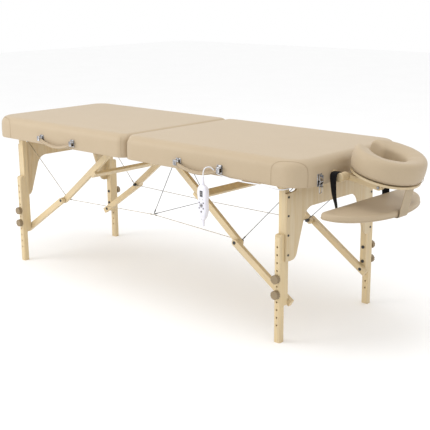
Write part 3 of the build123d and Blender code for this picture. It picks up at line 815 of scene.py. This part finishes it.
def welt_rings():
    """Small rings round the shelf's lower edge."""
    outer = shelf_ring(-0.4, -22.6)
    ahead = directions([outer[-1], *outer, outer[0]])[1:-1]
    for point, way in zip(outer, ahead):
        up = Vector((0, 0, 1))
        across = way.cross(up).normalized()
        yield [point + (across * x + up * y) for x, y in round_section(1.2 * MM, 6)]


def strap_piece(name, stops, width, thick, wide, turn, finish, body, slot):
    """A flat strap along a soft path."""
    bm = bmesh.new()
    path = smooth_path([at(*stop) for stop in stops], 5)
    section = oval_section(width, thick * MM, 0.3, 20)
    lofted(bm, swept_rings(path, section, Vector(wide), turn))
    return finished(name, bm, finish, body)


def carrying_straps(sizes):
    """Two black straps from the pegs, and the beige strap from the platform's front."""
    straps = []
    for side, sign in SIDES:
        stops = [(989, 128, 664), (989, 132, 675), (989, 146, 681.5), (989, 164, 680)]
        stops += [(990, 174, 670), (991, 176, 650), (993, 176, 620), (997, 175, 590)]
        stops += [(1003, 173, 562), (1007, 171, 536), (1014, 170, 524), (1036, 169, 521)]
        stops = [(x, sign * y, z) for x, y, z in stops]

        def twist(t, sign=sign):
            return -sign * math.radians(38) * max(0.0, min(1.0, (t - 0.4) / 0.4))

        name = side + "_shelf_strap"
        look = ("webbing", "cradle_base", "webbing")
        straps.append(strap_piece(name, stops, sizes.strap_width, 1.8, (1, 0, 0), twist, *look))
    stops = [(1150, 0, 511), (1176, 0, 509.5), (1190, 0, 512), (1194.5, 0, 522), (1197, 0, 540)]
    stops += [(1203, 0, 565), (1211, 0, 598), (1218, 0, 624), (1220, 0, 637)]
    front = strap_piece(
        "front_shelf_strap", stops, sizes.front_width, 2.6, (0, 1, 0), lambda t: 0.0,
        "front_strap", None, "webbing",
    )
    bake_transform(front)
    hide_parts("shelf_straps")
    for strap in straps:
        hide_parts("shelf_straps")


# ---------------------------------------------------------------- handles


def carry_handles(sizes):
    """Piped vinyl grips between chrome plates, drooping a little in the middle."""
    height = sizes.grip_height
    for side, sign in HALVES:
        x0, x1 = GRIP_LOW.x + 3, GRIP_HIGH.x - 3
        low, top = GRIP_LOW.z + 6.5, GRIP_HIGH.z - 7
        y = (GRIP_LOW.y + GRIP_HIGH.y) / 2
        path = []
        for k in range(33):
            t = k / 32
            sag = math.sin(math.pi * t) ** 0.8
            path.append(at(sign * (x0 + (x1 - x0) * t), y - 3 * sag, top + (low - top) * sag))
        bm = bmesh.new()
        section = []
        for x, z in oval_section(11.5 * MM, height, 0.8, 24):
            pinch = 1 - 0.12 * math.exp(-((abs(z) / height - 0.3) ** 2) / 0.004)
            section.append((z, x * pinch))
        wide = Vector((0, 0, 1))
        lofted(bm, swept_rings(path, section, wide, size=lambda t: 1 - 0.35 * abs(2 * t - 1) ** 12))
        grip = finished(side + "_grip_cover", bm, "vinyl", side + "_handle", sharp=0)
        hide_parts(side + "_handle_grip")
        bm = bmesh.new()
        for level in (-0.3, 0.3):
            for out in (-1, 1):
                line = []
                for point, ahead in zip(path, directions(path)):
                    up = (wide - wide.project(ahead)).normalized()
                    across = ahead.cross(up)
                    line.append(point + up * level * height + across * out * 4.9 * MM)
                tube(bm, line, 0.7 * MM, 6)
        finished(side + "_grip_piping", bm, "seam", side + "_handle", sharp=0)
        handle_ends(side, sign)


def handle_ends(side, sign):
    """Chrome end plates with a folded clip over the grip's ends, and two rivets each."""
    bm = bmesh.new()
    rivets = bmesh.new()
    for x, out in ((346, -1), (575, 1)):
        x *= sign
        out *= sign
        plate(bm, (x - 14, -359.4, 651), (x + 14, -356.6, 685), 1.2)
        xs = sorted((x - out * 3, x + out * 14.5))
        plate(bm, (xs[0], -377, 656.5), (xs[1], -374.2, 679.5), 1.2)
        for z in (656.2, 677.4):
            plate(bm, (xs[0], -376.5, z), (xs[1], -357, z + 2.4), 0.9)
        for spot in ((x - 9.5, 681.4), (x + 9.5, 681.4), (x, 654.2)):
            button(rivets, at(spot[0], -359.2, spot[1]), (0, -1, 0), 2.6, 1.6)
        button(rivets, at(x + out * 3.5, -376.8, 668), (0, -1, 0), 4.2, 2.2)
    finished(side + "_handle_plates", bm, "chrome", side + "_half", sharp=30)
    finished(side + "_handle_rivets", rivets, "chrome", side + "_half")


# ---------------------------------------------------------------- wires


def wire_run(name, stops, finish, radius):
    """Straight wire runs with a crimped sleeve near each end."""
    bm = bmesh.new()
    for a, b in zip(stops, stops[1:]):
        a, b = at(*a), at(*b)
        tube(bm, [a, a.lerp(b, 0.5), b], radius, 8)
        for start, end in ((a, b), (b, a)):
            way = (end - start).normalized()
            tube(bm, [start + way * d * MM for d in (9, 10, 21, 22)], radius * 1.9, 10)
    return finished(name, bm, finish, None)


def support_wires(sizes):
    """The wires that hold the legs open and hang from the middle of the hinge."""
    first = None
    knee_low, knee_high = box_of("head_knee_fittings")
    knee_x, knee_z = (knee_low.x + knee_high.x) / 2, (knee_low.z + knee_high.z) / 2
    for side, sign in HALVES:
        for where, y in SIDES:
            start = (sign * (knee_x + 5), y * 222, knee_z + 6)
            end = (sign * 922, y * 250, 678)
            tone = "light_wire" if sign < 0 else "dark_wire"
            wire = wire_run(f"{side}_{where}_corner_wire", [start, end], tone, sizes.wire)
            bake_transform(wire)
            first = first or wire
            middle = (0, y * 180, 355)
            start = (sign * (knee_x - 6), y * 222, knee_z)
            name = f"{side}_{where}_side_wire"
            wire = wire_run(name, [start, middle], "light_wire", sizes.wire)
            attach(wire, side + "_half")
            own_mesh(wire)
    hanging = [(0, -12, 628), (0, -178, 357), (0, 178, 357), (0, 12, 628)]
    wire = wire_run("middle_wires", hanging, "dark_wire", sizes.wire)
    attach(wire, "foot_half")
    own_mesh(wire)
    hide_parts("support_wires")


# ---------------------------------------------------------------- latches


def draw_latches():
    """Chrome draw latches on the head end, and their keepers on the foot end."""
    for side, y in (("near", -237), ("far", 237)):
        bm = bmesh.new()
        plate(bm, (970.2, y - 14, 636), (972.4, y + 14, 685), 1.0)
        for edge in (-12.5, 10.5):
            plate(bm, (971, y + edge, 661), (981, y + edge + 2, 679), 0.9)
        tube(bm, [at(975.5, y + d, 670) for d in (-13, 0, 13)], 1.9 * MM, 10)
        for z in (641, 681):
            for d in (-8, 8):
                button(bm, at(972.2, y + d, z), (1, 0, 0), 2.3, 1.5)
        finished(side + "_latch_plate", bm, "chrome", "head_half", sharp=30)
        bm = bmesh.new()
        bow = []
        for k in range(15):
            arch = math.sin(math.pi * k / 14) ** 1.3
            bow.append(at(976 + 6.5 * arch, y, 673 - 33 * k / 14))
        lofted(bm, swept_rings(bow, oval_section(19 * MM, 2.2 * MM, 0.4, 16), Vector((0, 1, 0))))
        lip = [at(976.5, y, 641), at(980, y, 637.5), at(984, y, 636)]
        lofted(bm, swept_rings(lip, oval_section(17 * MM, 2 * MM, 0.4, 16), Vector((0, 1, 0))))
        loop = [(978.5, -8, 655), (978, -8.3, 630), (977.5, -7.6, 616), (977.5, -4.5, 611.5)]
        loop += [(x, -d, z) for x, d, z in reversed(loop)]
        path = smooth_path([at(x, y + d, z) for x, d, z in loop], 4)
        tube(bm, path, 1.5 * MM, 8)
        lever = finished(side + "_draw_latch", bm, "chrome", side + "_latch", sharp=50)
        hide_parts(side + "_latch_lever")
    bm = bmesh.new()
    for y in (-237, 237):
        plate(bm, (-972.6, y - 14, 650), (-970.2, y + 14, 681), 1.0)
        hook = [at(-972, y, 671), at(-976, y, 671.5), at(-979, y, 668.5), at(-979, y, 663)]
        lofted(bm, swept_rings(hook, oval_section(11 * MM, 2 * MM, 0.4, 14), Vector((0, 1, 0))))
        for d in (-9, 9):
            button(bm, at(-972.4, y + d, 656), (-1, 0, 0), 2.3, 1.5)
    keepers = finished("latch_keepers", bm, "chrome", "foot_half", sharp=30)
    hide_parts("foot_chrome_fittings")
    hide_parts("head_chrome_fittings")


# ---------------------------------------------------------------- wood and fittings


def eased(node_name, finish, width, body):
    """A copy of a CAD node with its sharp edges rounded over, standing for the node."""
    source = NODES[node_name]
    bm = bmesh.new()
    bm.from_mesh(source.data)
    bmesh.ops.remove_doubles(bm, verts=bm.verts, dist=2e-5)
    bmesh.ops.dissolve_limit(
        bm, angle_limit=math.radians(1.0), verts=bm.verts, edges=bm.edges
    )
    piece = finished(node_name + "_eased", bm, finish, body, sharp=30, clean=False)
    rounding = piece.modifiers.new("rounding", "BEVEL")
    rounding.width = width
    rounding.segments = 3
    rounding.limit_method = "ANGLE"
    rounding.angle_limit = math.radians(50)
    rounding.harden_normals = True
    rounding.use_clamp_overlap = True
    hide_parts(node_name)
    return piece


def paint(node_name, finish):
    """A CAD node keeps its shape and gets a finish."""
    slots = NODES[node_name].data.materials
    slots.clear()
    slots.append(FINISH[finish])


def woodwork(sizes):
    """Legs, braces, panels, frame and cradle woodwork."""
    edge = sizes.wood_edge
    for side, _ in HALVES:
        eased(side + "_leg_posts", "upright", edge, side + "_legs")
        eased(side + "_end_panel", "panel", 1.2 * MM, side + "_legs")
        eased(side + "_upper_braces", side + "_brace", edge, side + "_long_braces")
        eased(side + "_lower_braces", side + "_brace", edge, side + "_short_braces")
        paint(side + "_frame", "rail")
        for where, _ in SIDES:
            body = f"{side}_{where}_extension"
            eased(f"{side}_{where}_leg_extension", "upright", 1.6 * MM, body)
            for level in ("lower", "upper"):
                name = f"{side}_{where}_{level}_knob"
                eased(name, "knob", 1.2 * MM, name)
    eased("cradle_sockets", "turned", 1.6 * MM, "head_half")
    eased("cradle_arms", "rail", 1.8 * MM, "cradle_arms")
    eased("cradle_platform", "deck", 1.2 * MM, "head_rest")
    eased("cradle_lock_knob", "turned", 1.6 * MM, "cradle_lock")
    paint("cradle_base", "turned")


def fittings():
    """Bolts, brackets, pins and screws: finishes, and the heads that show."""
    for side, _ in HALVES:
        paint(side + "_hinge_leaves", "zinc")
        for part in ("pivot_brackets", "leg_fasteners", "knee_fittings", "brace_bolts"):
            paint(f"{side}_{part}", "black")
    paint("fold_pins", "zinc")
    paint("cord_gland", "white")
    bm = bmesh.new()
    for y in (-145, 145):
        for d in (-17.5, 17.5):
            button(bm, at(976, y + d, 661), (1, 0, 0), 2.6, 1.4)
    finished("socket_screws", bm, "black", "head_half")
    bm = bmesh.new()
    for out in (-1, 1):
        button(bm, at(1151, out * 117, 636), (0, out, 0), 6, 2.4)
        spot = at(1004, 160.2, 661) if out > 0 else at(1151, -103, 636)
        button(bm, spot, (0, out, 0), 3, 1)
    finished("arm_pivot_screws", bm, "zinc", "cradle_arms")


# ---------------------------------------------------------------- remote and its cord


CORD_ROUTE = [
    (900, -300, 662), (900, -300, 644), (893, -317, 629), (870, -348, 625), (826, -362, 633),
    (770, -361, 637), (714, -360.5, 634.5), (660, -360, 636), (617, -358.8, 640),
    (586, -358.2, 644.5), (560, -358.3, 648.5), (543, -359, 662), (533, -364, 672),
    (527, -376, 674), (525, -392, 670), (525, -400, 654), (525, -400, 637),
]
CORD_DIAMETER = 0.005


def remote_cord():
    """The thin white cord from the gland under the head half, over the handle."""
    curve = bpy.data.curves.new("remote_cord_line", "CURVE")
    curve.dimensions = "3D"
    curve.bevel_depth = CORD_DIAMETER / 2
    curve.bevel_resolution = 4
    curve.resolution_u = 10
    curve.use_fill_caps = True
    spline = curve.splines.new("NURBS")
    spline.points.add(len(CORD_ROUTE) - 1)
    for point, spot in zip(spline.points, CORD_ROUTE):
        point.co = (*at(*spot), 1)
    spline.order_u = 3
    spline.use_endpoint_u = True
    cord = bpy.data.objects.new("remote_cord_flex", curve)
    bpy.context.scene.collection.objects.link(cord)
    curve.materials.append(FINISH["cord"])
    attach(cord, "head_half")
    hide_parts("remote_cord")


REMOTE_AT = (525, -400)
REMOTE_WIDTHS = [
    (463, 15), (468, 24), (478, 33), (492, 42), (506, 48), (520, 47), (534, 43), (548, 45),
    (562, 50), (576, 51), (588, 48), (596, 40), (602, 29), (605, 18),
]


def heat_remote():
    """The hand control: waisted shell, ribbed strain reliefs, display, lights and keys."""
    x, y = REMOTE_AT
    bm = bmesh.new()
    rings = []
    for z, width in REMOTE_WIDTHS:
        depth = 24 if 468 < z < 602 else 17
        section = oval_section(width, depth, 0.42, 32)
        rings.append([at(x + a, y + b, z) for a, b in section])
    lofted(bm, rings)
    shell = finished("remote_body", bm, "white", "remote", sharp=0)
    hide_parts("remote_shell")
    bm = bmesh.new()
    for start, end, count in ((603, 636, 6), (465, 436, 5)):
        span = end - start
        rings = []
        for k in range(count * 4 + 1):
            t = k / (count * 4)
            radius = 6.2 - 2.4 * t + (0.55 if k % 4 in (1, 2) else 0)
            rings.append([at(x + a, y + b, start + span * t) for a, b in round_section(radius, 16)])
        lofted(bm, rings)
    finished("remote_reliefs", bm, "white", "remote", sharp=0)
    bm = bmesh.new()
    face = y - 12
    plate(bm, (x - 8, face - 0.5, 558), (x + 8, face + 2, 583), 0.8)
    finished("remote_display", bm, "glass", "remote", sharp=30)
    bm = bmesh.new()
    for d in (-8.5, 8.5):
        button(bm, at(x + d, face + 0.2, 548), (0, -1, 0), 1.5, 1.0)
    for level in (573, 566.5):
        plate(bm, (x - 5.5, face - 0.9, level), (x + 5.5, face - 0.3, level + 4), 0.3)
    finished("remote_lights", bm, "key", "remote", sharp=30)
    bm = bmesh.new()
    ring = []
    for k in range(37):
        c, s = math.cos(math.tau * k / 36), math.sin(math.tau * k / 36)
        ring.append(at(x + 7.6 * c, face - 0.4, 523 + 7.6 * s))
    tube(bm, ring, 0.7 * MM, 8)
    finished("remote_ring", bm, "key", "remote", sharp=0)
    for key in ("up_left", "up_right", "down_left", "down_right", "power", "heat"):
        name = "remote_key_" + key
        eased(name, "key", 0.5 * MM, name)


# ---------------------------------------------------------------- stage


CAMERA_AT = (2.8092, -2.9096, 1.3682)
CAMERA_YAW, CAMERA_DIP, CAMERA_ROLL = 2.3204, 0.2473, -0.007
FOCAL_PIXELS, FRAME_PIXELS, SENSOR = 908.75, 430, 36.0


def aim_camera():
    """The camera, looking across the near corner of the head end."""
    data = bpy.data.cameras.new("table_camera")
    data.sensor_width = SENSOR
    data.lens = FOCAL_PIXELS / FRAME_PIXELS * SENSOR
    data.clip_end = 50
    camera = bpy.data.objects.new("table_camera", data)
    bpy.context.scene.collection.objects.link(camera)
    ahead = Vector(
        (
            math.cos(CAMERA_YAW) * math.cos(CAMERA_DIP),
            math.sin(CAMERA_YAW) * math.cos(CAMERA_DIP),
            -math.sin(CAMERA_DIP),
        )
    )
    turn = ahead.to_track_quat("-Z", "Y").to_matrix()
    turn = turn @ Matrix.Rotation(CAMERA_ROLL, 3, "Z")
    camera.matrix_world = Matrix.Translation(CAMERA_AT) @ turn.to_4x4()
    bpy.context.scene.camera = camera


def area_light(name, place, target, size, power):
    """A square softbox aimed at a point."""
    data = bpy.data.lights.new(name, "AREA")
    data.size = size
    data.energy = power
    light = bpy.data.objects.new(name, data)
    bpy.context.scene.collection.objects.link(light)
    way = Vector(target) - Vector(place)
    turn = way.to_track_quat("-Z", "Y").to_matrix().to_4x4()
    light.matrix_world = Matrix.Translation(place) @ turn


def studio():
    """Pale floor, even white surroundings and two soft lights."""
    bm = bmesh.new()
    bmesh.ops.create_grid(bm, x_segments=2, y_segments=2, size=14)
    mesh = bpy.data.meshes.new("studio_floor")
    bm.to_mesh(mesh)
    bm.free()
    floor = bpy.data.objects.new("studio_floor", mesh)
    bpy.context.scene.collection.objects.link(floor)
    material, tree, principled = shader("pale_floor", 0.9)
    space = pattern_space(tree)
    cloud = node(tree, "ShaderNodeTexNoise", [("Vector", space)], Scale=2.0, Detail=2.0)
    tone = two_tones(tree, cloud.outputs["Fac"], (0.96, 0.96, 0.96), (0.97, 0.97, 0.97))
    tree.links.new(tone, principled.inputs["Base Color"])
    principled.inputs["Specular IOR Level"].default_value = 0.1
    mesh.materials.append(material)
    world = bpy.data.worlds.new("white_surround")
    world.use_nodes = True
    world.node_tree.nodes["Background"].inputs["Color"].default_value = (1, 1, 1, 1)
    world.node_tree.nodes["Background"].inputs["Strength"].default_value = 1.0
    bpy.context.scene.world = world
    area_light("key_softbox", (-2.6, -3.2, 2.2), (-0.3, 0, 0.5), 2.4, 60)
    area_light("top_softbox", (0.4, -0.4, 3.6), (0, 0, 0.6), 2.6, 30)
    bpy.context.scene.view_settings.view_transform = "Standard"


# ---------------------------------------------------------------- operators


class TABLE_OT_stage(bpy.types.Operator):
    """Set the camera, the floor and the studio light"""

    bl_idname = "table.stage"
    bl_label = "Stage"

    def execute(self, context):
        aim_camera()
        studio()
        return {"FINISHED"}


class TABLE_OT_finishes(bpy.types.Operator):
    """Make the table's materials"""

    bl_idname = "table.finishes"
    bl_label = "Finishes"

    def execute(self, context):
        FINISH.update(make_materials(context.scene))
        return {"FINISHED"}


class TABLE_OT_cord(bpy.types.Operator):
    """Run the remote's cord"""

    bl_idname = "table.cord"
    bl_label = "Remote cord"

    def execute(self, context):
        remote_cord()
        return {"FINISHED"}


class TABLE_OT_top(bpy.types.Operator):
    """Upholster the two halves of the top"""

    bl_idname = "table.top"
    bl_label = "Top cushions"

    def execute(self, context):
        top_cushions(context.scene.table_sizes)
        return {"FINISHED"}


class TABLE_OT_pillow(bpy.types.Operator):
    """Make the face pillow"""

    bl_idname = "table.pillow"
    bl_label = "Face pillow"

    def execute(self, context):
        face_pillow()
        return {"FINISHED"}


class TABLE_OT_shelf(bpy.types.Operator):
    """Make the arm shelf and its straps"""

    bl_idname = "table.shelf"
    bl_label = "Arm shelf"

    def execute(self, context):
        arm_shelf(context.scene.table_sizes)
        return {"FINISHED"}


class TABLE_OT_handles(bpy.types.Operator):
    """Make the carrying handles"""

    bl_idname = "table.handles"
    bl_label = "Handles"

    def execute(self, context):
        carry_handles(context.scene.table_sizes)
        return {"FINISHED"}


class TABLE_OT_wires(bpy.types.Operator):
    """Stretch the support wires"""

    bl_idname = "table.wires"
    bl_label = "Wires"

    def execute(self, context):
        support_wires(context.scene.table_sizes)
        return {"FINISHED"}


class TABLE_OT_latches(bpy.types.Operator):
    """Make the draw latches and keepers"""

    bl_idname = "table.latches"
    bl_label = "Latches"

    def execute(self, context):
        draw_latches()
        return {"FINISHED"}


class TABLE_OT_woodwork(bpy.types.Operator):
    """Round over and finish the wooden pieces"""

    bl_idname = "table.woodwork"
    bl_label = "Woodwork"

    def execute(self, context):
        woodwork(context.scene.table_sizes)
        fittings()
        return {"FINISHED"}


class TABLE_OT_remote(bpy.types.Operator):
    """Make the heat remote"""

    bl_idname = "table.remote"
    bl_label = "Remote"

    def execute(self, context):
        heat_remote()
        return {"FINISHED"}


OPERATORS = (
    TABLE_OT_stage,
    TABLE_OT_finishes,
    TABLE_OT_cord,
    TABLE_OT_top,
    TABLE_OT_pillow,
    TABLE_OT_shelf,
    TABLE_OT_handles,
    TABLE_OT_wires,
    TABLE_OT_latches,
    TABLE_OT_woodwork,
    TABLE_OT_remote,
)


class TABLE_PT_panel(bpy.types.Panel):
    """The table's pieces and their settings"""

    bl_label = "Massage Table"
    bl_space_type = "VIEW_3D"
    bl_region_type = "UI"
    bl_category = "Massage Table"

    def draw(self, context):
        layout = self.layout
        for group in SETTINGS:
            settings = getattr(context.scene, group)
            for key in settings.bl_rna.properties.keys():
                if key not in ("rna_type", "name"):
                    layout.prop(settings, key)
        for operator in OPERATORS:
            layout.operator(operator.bl_idname)


SETTINGS = {
    "table_upholstery": UpholsteryColours,
    "table_wood": WoodColours,
    "table_sizes": TableSizes,
}
CLASSES = (*SETTINGS.values(), *OPERATORS, TABLE_PT_panel)


def register():
    for kind in CLASSES:
        bpy.utils.register_class(kind)
    for name, group in SETTINGS.items():
        setattr(bpy.types.Scene, name, bpy.props.PointerProperty(type=group))


def unregister():
    for name in SETTINGS:
        delattr(bpy.types.Scene, name)
    for kind in reversed(CLASSES):
        bpy.utils.unregister_class(kind)


def main():
    """Make every piece in order."""
    register()
    for operator in OPERATORS:
        group, name = operator.bl_idname.split(".")
        getattr(getattr(bpy.ops, group), name)()


if __name__ == "__main__":
    main()
